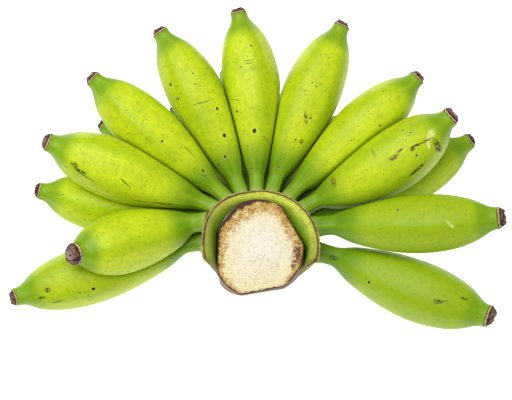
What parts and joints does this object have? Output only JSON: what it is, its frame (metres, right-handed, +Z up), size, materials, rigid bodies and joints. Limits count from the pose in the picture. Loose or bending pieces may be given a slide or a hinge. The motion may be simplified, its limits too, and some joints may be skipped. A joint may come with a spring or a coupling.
{
  "type": "hand of bananas",
  "caption": "Hand of plump green cooking bananas joined on a cut crown, lying flat in two fanned rows.",
  "frame": {"origin": "on the surface that the hand lies on, at the middle of the crown's flat underside", "axes": "+Z up from the surface, +Y towards the back of the hand where its middle fingers point, +X to the right"},
  "size_m": [0.3344, 0.2199, 0.078],
  "materials": {
    "peel": "waxy satin banana peel, yellow-green with greener ends",
    "cut_stalk": "cut fibrous stalk, cream and dry, inside green skin",
    "dried_tip": "dried brown flower end"
  },
  "bodies": {
    "root": {"crown": "cut_stalk", "upper_finger_1": "peel", "upper_finger_2": "peel", "upper_finger_3": "peel", "upper_finger_4": "peel", "upper_finger_5": "peel", "upper_finger_6": "peel", "upper_finger_7": "peel", "upper_finger_8": "peel", "upper_finger_9": "peel", "lower_finger_1": "peel", "lower_finger_2": "peel", "lower_finger_3": "peel", "lower_finger_4": "peel", "lower_finger_5": "peel", "lower_finger_6": "peel", "lower_finger_7": "peel", "lower_finger_8": "peel", "lower_finger_9": "peel", "lower_finger_10": "peel"}
  },
  "joints": []
}
